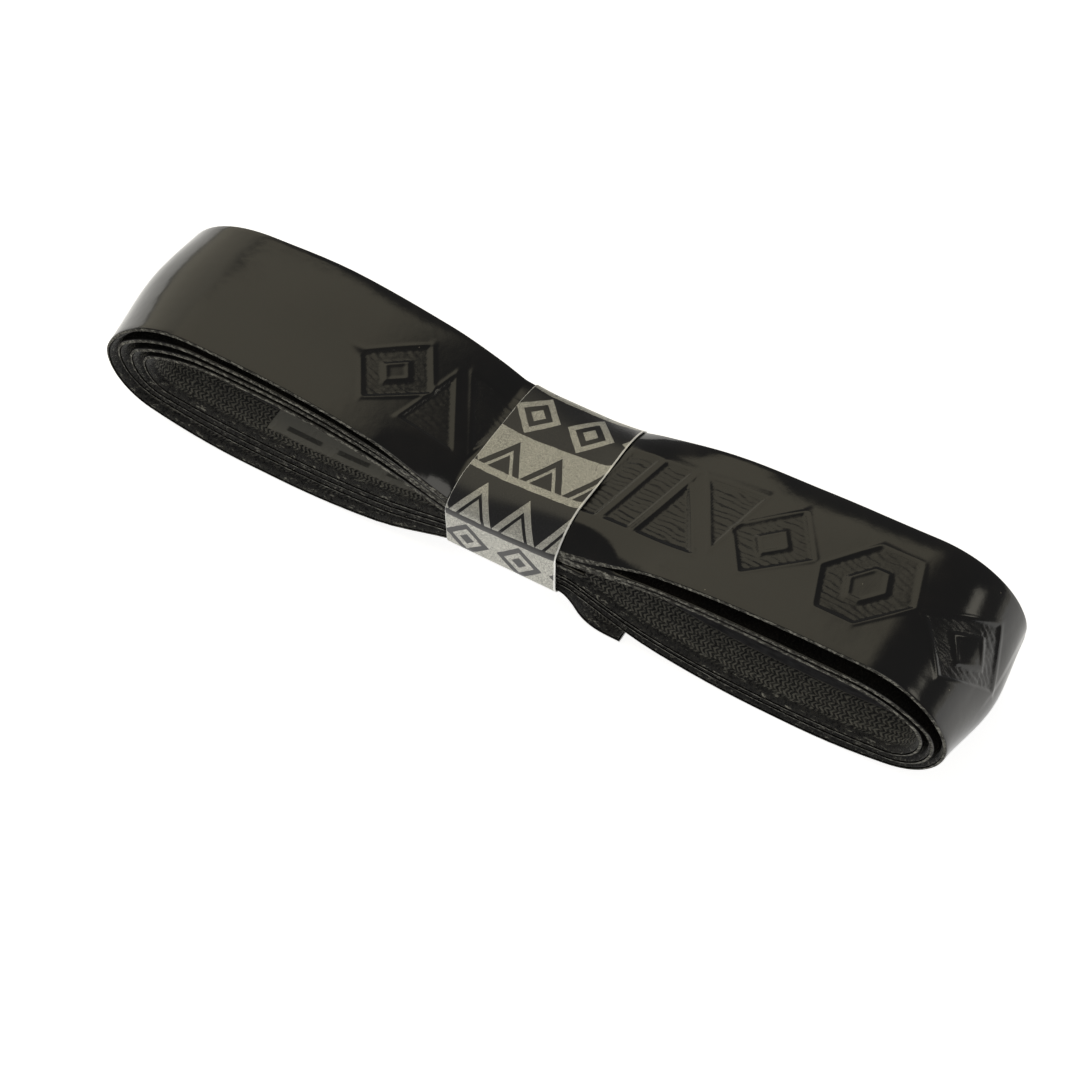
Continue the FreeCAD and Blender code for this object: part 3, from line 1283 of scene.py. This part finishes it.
@dataclass
class SoftRoll:
    """The wound strip: skin, felt, adhesive, liner, and the finishing tape on its backing. Sizes in mm."""

    path: WoundPath
    drape: Drape
    emboss: Emboss = field(default_factory=Emboss)
    strip_half: float = 12.5
    skin_thick: float = 0.6
    felt_thick: float = 0.75
    felt_inset: float = 0.12
    felt_bevel: float = 0.85
    film_thick: float = 0.08
    film_half: float = 6.0
    tape_half: float = 10.0
    tape_thick: float = 0.12
    tape_start: float = 9.0
    tape_end: float = -46.0
    tape_crossing: int = 6
    marks_crossing: int = 1
    marks: tuple = (-34.0, 83.5)
    marks_half: float = 9.0
    finest: float = 0.28
    fine_half: float = 7.35
    fine_columns: int = 57
    bend: float = 4.5
    edge_facing: float = 0.8
    body: str = "roll"

    @property
    def felt_depth(self) -> float:
        """Depth of the felt's inner face."""
        return self.skin_thick + self.felt_thick

    def _rows(self, longest: float, margin: float = 0.0) -> Array:
        """Lengths of the rows of a full-length layer."""
        return self.path.stations(margin, self.path.length - margin, longest, math.radians(self.bend))

    def _finish(self, piece: bpy.types.Object, node: str, material: bpy.types.Material) -> bpy.types.Object:
        """Dress a layer and put it in place of its node.

        Args:
            piece: The layer.
            node: The node that it stands for.
            material: Its finish.

        Returns:
            The layer.
        """
        piece.data.materials.append(material)
        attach(piece, self.body)
        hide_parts(node)
        LOG.info("%s: %d faces", piece.name, len(piece.data.polygons))
        return piece

    def skin(self) -> bpy.types.Object:
        """The glossy outer skin with its pressed figures.

        Returns:
            The finished skin, dressed in its two materials.
        """
        middle = self.path.crossing(self.marks_crossing)
        first, last = middle + self.marks[0], middle + self.marks[1]
        fine = (first + 0.5, last - 0.5, self.finest)
        runs = self.path.stations(0.0, self.path.length, 3.0, math.radians(self.bend), fine)
        section = Section.strip(self.strip_half, 0.0, self.skin_thick, 8, self.skin_thick / 2,
                                fine=(self.fine_half, self.fine_columns))
        sheet = Sheet("soft_grip_skin", self.path, self.drape, section)

        def relief(run: Array, across: Array) -> tuple[Array, Array]:
            """Relief of the figures, only on the outer turn's top.

            Args:
                run: Lengths along the strip.
                across: Distances from its middle line.

            Returns:
                The depth at each point, and how much of it is pressed.
            """
            near = (run > first) & (run < last) & (np.abs(across) < self.marks_half)
            depth, mask = self.emboss.field(run - middle, across)
            return np.where(near, depth, 0.0), np.where(near, mask, 0.0)

        piece = sheet.build(runs, relief)
        self._finish(piece, "grip_skin", GlossySkin().material())
        piece.data.materials.append(CutSkinEdge().material())
        self._mark_edges(piece)
        return piece

    def _mark_edges(self, piece: bpy.types.Object) -> None:
        """Give the slit edges of the skin, which face sideways, the second material.

        Args:
            piece: The skin, with both materials on it.
        """
        for face in piece.data.polygons:
            if abs(face.normal.y) > self.edge_facing:
                face.material_index = 1

    def felt(self) -> bpy.types.Object:
        """The thick felt under the skin, bevelled along both edges.

        Returns:
            The finished felt.
        """
        top = self.skin_thick + 0.01
        half = self.strip_half - self.felt_inset
        section = Section.strip(half, top, self.felt_depth, 13, 0.05, bevel=self.felt_bevel)
        sheet = Sheet("soft_felt_backing", self.path, self.drape, section)
        piece = sheet.build(self._rows(1.6, 0.25))
        return self._finish(piece, "felt_backing", WovenFelt().material())

    def film(self, name: str, node: str, order: int, material: bpy.types.Material) -> bpy.types.Object:
        """One of the two narrow films on the felt, order 0 for the adhesive and 1 for its liner.

        Args:
            name: Name of the new object.
            node: Node that it stands for.
            order: 0 or 1.
            material: Its finish.

        Returns:
            The film.
        """
        top = self.felt_depth + order * self.film_thick
        section = Section.strip(self.film_half - 0.05 * order, top + 0.004, top + self.film_thick, 7, 0.02)
        piece = Sheet(name, self.path, self.drape, section).build(self._rows(3.0, 0.6 + 0.3 * order))
        return self._finish(piece, node, material)

    def tape(self, name: str, node: str, order: int, material: bpy.types.Material) -> bpy.types.Object:
        """The finishing tape or its backing, laid on the lowest inner turn.

        Args:
            name: Name of the new object.
            node: Node that it stands for.
            order: 0 for the backing, 1 for the tape on it.
            material: Its finish.

        Returns:
            The tape or its backing.
        """
        waist = self.path.crossing(self.tape_crossing)
        probe = np.linspace(waist, waist + 60.0, 601)
        reach = probe[int(np.argmin(np.abs(self.path.at(probe)[0] - self.tape_end)))]
        start = waist - self.tape_start
        top = self.felt_depth + 2 * self.film_thick + 0.01 + order * self.tape_thick
        runs = self.path.stations(start, reach, 0.8, math.radians(3.0))
        section = Section.strip(self.tape_half - 0.15 * order, top, top + self.tape_thick - 0.01, 15, 0.03)
        piece = Sheet(name, self.path, self.drape, section).build(runs)
        return self._finish(piece, node, material)

    def build(self) -> list[bpy.types.Object]:
        """Make and dress all six layers.

        Returns:
            The layers, from the skin inwards.
        """
        return [
            self.skin(),
            self.felt(),
            self.film("soft_adhesive_strip", "adhesive_strip", 0, ADHESIVE.material()),
            self.film("soft_release_liner", "release_liner", 1, ReleasePaper().material()),
            self.tape("soft_tape_backing", "tape_backing", 0, BACKING.material()),
            self.tape("soft_finishing_tape", "finishing_tape", 1, DashedTape().material()),
        ]


@dataclass
class WaistBand:
    """The printed paper band around the waist and the glue of its lap. Sizes in mm."""

    path: WoundPath
    drape: Drape
    half_length: float = 9.8
    half_wide: float = 13.0
    gap: float = 0.16
    thick: float = 0.2
    lap: float = 9.0
    glue_thick: float = 0.08
    rounding: int = 26
    steps: int = 720
    across_steps: int = 40
    side_steps: int = 10
    corner: float = 0.8
    paper_rows: int = 420
    glue_rows: int = 24
    glue_share: float = 0.92
    lip: float = 0.06
    margin: float = 0.6
    crinkle: float = 0.05
    crinkle_length: float = 11.0
    first_block: int = 5
    block: float = 8.95
    silver_top: float = 2.5
    shift: float = 0.45
    skew: float = 0.065
    body: str = "band"

    def _skin_height(self, x: float, y: Array, plain: float, share: float) -> Array:
        """Height of the skin under the skewed band, where the roll leaves the waist included.

        Args:
            x: Place along the roll, before the band's skew.
            y: Places across the strip.
            plain: Height of the outermost layer at the middle of the waist.
            share: 1 on the top of the stack, -1 underneath.

        Returns:
            Heights in millimetres.
        """
        place = x + self.shift + self.skew * y
        radius = self.path.bend_radius
        past = np.clip(np.abs(place) - self.path.bend_start, 0.0, radius)
        rise = radius - np.sqrt(radius ** 2 - past ** 2)
        none = 0.0 * y
        run = none if share < 0 else none + self.path.half_length
        return self.drape.move(place, y, none + plain + share * rise, none + share, run)[2]

    def _outline(self, x: float) -> Array:
        """The band's inner outline at one place along the roll, from underneath to the rear and round.

        Args:
            x: Place along the roll, before the skew.

        Returns:
            Evenly spaced points across and up, in millimetres.
        """
        stack = self.path.half_stack
        reach = self.half_wide - self.corner
        y_top = np.linspace(reach, -reach, self.across_steps)
        y_low = y_top[::-1]
        top = self._skin_height(x, y_top, self.path.middle + stack, 1.0) + self.gap
        low = self._skin_height(x, y_low, self.path.middle - stack, -1.0) - self.gap
        rear = np.linspace(low[-1], top[0], self.side_steps + 2)[1:-1]
        front = np.linspace(top[-1], low[0], self.side_steps + 2)[1:-1]
        side = np.full(self.side_steps, self.half_wide)
        y, z = np.concatenate([y_top, -side, y_low, side]), np.concatenate([top, front, low, rear])
        corners = np.stack([y, z], axis=1)
        soft = self._round_off(np.concatenate([corners, corners[:1]]))
        under = soft[:, 1] < self.path.middle
        start = int(np.argmin(np.where(under, np.abs(soft[:, 0]), np.inf)))
        return np.roll(soft, -start, axis=0)[::-1]

    def _round_off(self, closed: Array) -> Array:
        """Space the points of a closed outline evenly and round its corners.

        Args:
            closed: The corners, with the first repeated at the end.

        Returns:
            The evenly spaced points.
        """
        reach = np.concatenate([[0.0], np.cumsum(np.hypot(*np.diff(closed, axis=0).T))])
        even = np.linspace(0.0, reach[-1], self.steps, endpoint=False)
        loop = np.stack([np.interp(even, reach, closed[:, part]) for part in (0, 1)], axis=1)
        kernel = np.hanning(self.rounding)
        kernel /= kernel.sum()
        padded = np.concatenate([loop[-self.rounding:], loop, loop[:self.rounding]])
        soft = np.stack([np.convolve(padded[:, part], kernel, mode="same") for part in (0, 1)], axis=1)
        return soft[self.rounding:-self.rounding]

    @property
    def girth(self) -> float:
        """Length of the band's inner face once round the waist."""
        return float(np.hypot(*np.diff(self._outline(0.0), axis=0).T).sum())

    def _around(self, share: Array) -> Array:
        """Millimetres around the printed band, counted so that a silver block begins near the top's middle.

        Args:
            share: Parts of the way round, from underneath.

        Returns:
            Millimetres.
        """
        middle = self._outline(0.0)
        on_top = np.where(middle[:, 1] > self.path.middle, np.abs(middle[:, 0] - self.silver_top), np.inf)
        zero = int(np.argmin(on_top)) / self.steps
        to_front = 1.0 if middle[self.steps // 4, 0] > 0 else -1.0
        return (share - zero) * self.girth * to_front + self.first_block * self.block

    def _walk(self, x: float, share: Array) -> tuple[Array, Array]:
        """Points of the outline at one place along the roll and their outward directions.

        Args:
            x: Place along the roll.
            share: Parts of the way round, from underneath.

        Returns:
            The points and the directions, across and up.
        """
        loop = self._outline(x)
        wrapped = np.concatenate([loop, loop[:1]])
        marks = np.arange(self.steps + 1)
        spot, ahead = (
            np.stack([np.interp((share * self.steps + more) % self.steps, marks, wrapped[:, part])
                      for part in (0, 1)], 1) for more in (0, 2))
        along = ahead - spot
        along /= np.hypot(along[:, 0], along[:, 1])[:, None]
        return spot, np.stack([-along[:, 1], along[:, 0]], axis=1)

    def _wrap(self, name: str, columns: Array, share: Array, outer: Array, inner: Array) -> bpy.types.Object:
        """Carry a thin outline round the band.

        Args:
            name: The new object's name.
            columns: Places along the roll, from left to right.
            share: Parts of the way round, from underneath to the rear, over the top and back.
            outer: How far the outer face stands off the inner outline, for each part of the way.
            inner: The same for the inner face.

        Returns:
            The new object.
        """
        around = self._around(share)
        walks = [self._walk(float(x), share) for x in columns]
        there = list(zip(columns, walks))
        rows, u, mask = [], [], []
        for off, order, flag in ((outer, there, 1.0), (inner, there[::-1], 0.0)):
            for x, (spot, out) in order:
                flat = spot + out * off[:, None]
                lift = self.crinkle * ripple(around, x + 0 * around, self.crinkle_length, 4.0) * flag
                skewed = x + self.shift + self.skew * flat[:, 0] + lift
                rows.append(np.stack([skewed, flat[:, 0], flat[:, 1]], axis=1))
                u.append(np.full(len(share), x))
                mask.append(np.full(len(share), flag))
        points = np.stack(rows, axis=1).reshape(-1, 3) * MM
        shape = (len(share), 2 * len(columns))
        v = np.broadcast_to(around[:, None], shape)
        return closed_tube(name, points, shape, np.stack(u, axis=1), v, np.stack(mask, axis=1))

    def _dress(self, piece: bpy.types.Object, node: str, material: bpy.types.Material) -> None:
        """Give a piece its finish and put it in place of its node.

        Args:
            piece: The piece.
            node: Node that it stands for.
            material: Its finish.
        """
        piece.data.materials.append(material)
        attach(piece, self.body)
        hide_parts(node)
        LOG.info("%s: %d faces", piece.name, len(piece.data.polygons))

    def paper(self) -> bpy.types.Object:
        """The printed band, with its ends lapped underneath.

        Returns:
            The finished band.
        """
        half_lap = self.lap / 2 / self.girth
        share = np.linspace(-half_lap, 1.0 + half_lap, self.paper_rows)
        step = (self.thick + self.glue_thick) * smooth(share, 1.0 - 2.4 * half_lap, 1.0 - 1.25 * half_lap)
        middle = self.half_length - self.margin
        edge = np.array([self.half_length - self.lip, self.half_length])
        columns = np.concatenate([-edge[::-1], np.linspace(-middle, middle, 25), edge])
        piece = self._wrap("printed_paper_band", columns, share, step + self.thick, step)
        self._dress(piece, "paper_band", PrintedPaper(block=self.block).material())
        (self.girth + self.lap) * MM
        return piece

    def glue(self) -> bpy.types.Object:
        """The strip of glue inside the lap.

        Returns:
            The finished film of glue.
        """
        half_lap = self.lap / 2 / self.girth * self.glue_share
        share = np.linspace(-half_lap, half_lap, self.glue_rows)
        columns = np.linspace(-self.half_length + 0.5, self.half_length - 0.5, 13)
        flat = np.full(len(share), self.thick)
        piece = self._wrap("seam_glue_film", columns, share, flat + self.glue_thick - 0.005, flat + 0.005)
        self._dress(piece, "seam_glue", GLUE.material())
        return piece

    def build(self) -> list[bpy.types.Object]:
        """Make and dress the band and its glue."""
        return [self.paper(), self.glue()]


# Studio ------------------------------------------------------------------------------------------------


@dataclass(frozen=True)
class Softbox:
    """A soft rectangular light, with its centre, the point that it faces and its size in metres.

    It dims towards its edges over the two fade lengths, across it and up it.
    """

    name: str
    centre: tuple
    target: tuple
    wide: float
    tall: float
    brightness: float
    colour: tuple
    fade: tuple = (0.1, 0.1)

    def _dim_edges(self, tree: bpy.types.NodeTree) -> None:
        """Let the light fade smoothly towards its four edges.

        Args:
            tree: The light's node tree.
        """
        place = tree.nodes.new("ShaderNodeNewGeometry")
        split = tree.nodes.new("ShaderNodeSeparateXYZ")
        tree.links.new(place.outputs["Parametric"], split.inputs[0])
        glow = None
        for socket, size, fade in zip(split.outputs, (self.wide, self.tall), self.fade):
            side = Field(tree, socket)
            rise = side.lower(-side + 1.0).ramp(0.0, fade / size)
            eased = rise * rise * (rise * -2.0 + 3.0)
            glow = eased if glow is None else glow * eased
        tree.links.new(glow.socket, tree.nodes["Emission"].inputs["Strength"])

    def build(self) -> bpy.types.Object:
        """Make the light.

        Returns:
            The light, aimed at its target.
        """
        data = bpy.data.lights.new(self.name, "AREA")
        data.shape = "RECTANGLE"
        data.size = self.wide
        data.size_y = self.tall
        data.energy = self.brightness * self.wide * self.tall * math.pi
        data.color = self.colour
        data.use_nodes = True
        self._dim_edges(data.node_tree)
        light = bpy.data.objects.new(self.name, data)
        bpy.context.collection.objects.link(light)
        light.location = self.centre
        away = Vector(self.centre) - Vector(self.target)
        light.rotation_euler = away.to_track_quat("Z", "Y").to_euler()
        return light


@dataclass(frozen=True)
class Studio:
    """Camera, soft lights and a plain white floor."""

    azimuth: float = 29.79
    elevation: float = 55.62
    distance: float = 0.42
    lens: float = 86.8
    sensor: float = 36.0
    shift: tuple = (-0.0042, -0.0069)
    floor_size: float = 4.0
    floor_drop: float = 0.0002
    floor_colour: tuple = (0.86, 0.86, 0.86)
    floor_glow: float = 0.8
    dim: float = 0.2
    lights: tuple = (
        Softbox("overhead_softbox", (-0.42, 0.13, 0.70), (-0.42, 0.13, 0.0), 1.14, 1.06, 0.92,
                (1.0, 0.915, 0.67), (0.30, 0.14)),
        Softbox("left_softbox", (-0.86, 0.47, 0.34), (0.0, 0.0, 0.05), 0.9, 0.80, 0.8, (1.0, 0.92, 0.69),
                (0.2, 0.2)),
        Softbox("right_softbox", (0.62, 0.26, 0.44), (0.06, 0.0, 0.02), 0.30, 0.24, 1.8, (1.0, 0.95, 0.80)),
        Softbox("low_softbox", (0.76, 0.40, 0.03), (0.06, 0.0, 0.01), 0.7, 0.22, 0.62, (1.0, 0.95, 0.80),
                (0.15, 0.08)),
        Softbox("front_softbox", (0.26, -0.72, 0.62), (0.0, 0.0, 0.0), 0.7, 0.5, 1.85, (1.0, 0.97, 0.89)),
    )

    def camera(self) -> None:
        """Place the camera, which looks at the point under the band."""
        turn, tilt = math.radians(self.azimuth), math.radians(self.elevation)
        way = Vector((math.sin(turn) * math.cos(tilt), -math.cos(turn) * math.cos(tilt), math.sin(tilt)))
        data = bpy.data.cameras.new("studio_camera")
        data.lens = self.lens
        data.sensor_width = self.sensor
        data.shift_x, data.shift_y = self.shift
        data.clip_start = 0.01
        camera = bpy.data.objects.new("studio_camera", data)
        bpy.context.collection.objects.link(camera)
        camera.location = way * self.distance
        camera.rotation_euler = way.to_track_quat("Z", "Y").to_euler()
        bpy.context.scene.camera = camera

    def floor(self) -> None:
        """A white floor that glows a little, so that its shadows stay faint."""
        bpy.ops.object.select_all(action="DESELECT")
        bpy.ops.mesh.primitive_plane_add(size=self.floor_size, location=(0.0, 0.0, -self.floor_drop))
        plane = bpy.context.object
        plane.name = "studio_floor"
        shading = Shading("studio_white", self.floor_colour, 0.9)
        shading.shader.inputs["Emission Color"].default_value = (1.0, 1.0, 1.0, 1.0)
        shading.shader.inputs["Emission Strength"].default_value = self.floor_glow
        plane.data.materials.append(shading.material)

    def world(self) -> None:
        """A surround that is white behind the grip and dim in its reflections."""
        world = bpy.data.worlds.new("studio_surround")
        world.use_nodes = True
        tree = world.node_tree
        background = tree.nodes["Background"]
        background.inputs[0].default_value = (1.0, 1.0, 1.0, 1.0)
        path = tree.nodes.new("ShaderNodeLightPath")
        seen = Field(tree, path.outputs["Is Camera Ray"]).ramp(0.0, 1.0, self.dim, 1.0)
        tree.links.new(seen.socket, background.inputs[1])
        bpy.context.scene.world = world

    def build(self) -> None:
        """Set up the whole studio."""
        self.camera()
        self.floor()
        self.world()
        for light in self.lights:
            light.build()
        bpy.context.scene.view_settings.view_transform = "Standard"


def main() -> None:
    """Build the grip around its frame and set up the studio."""
    logging.basicConfig(level=logging.INFO, format="%(name)s: %(message)s")
    path = WoundPath()
    drape = Drape()
    LOG.info("strip length %.1f mm", path.length)
    Studio().build()
    SoftRoll(path, drape).build()
    WaistBand(path, drape).build()


if __name__ == "__main__":
    main()
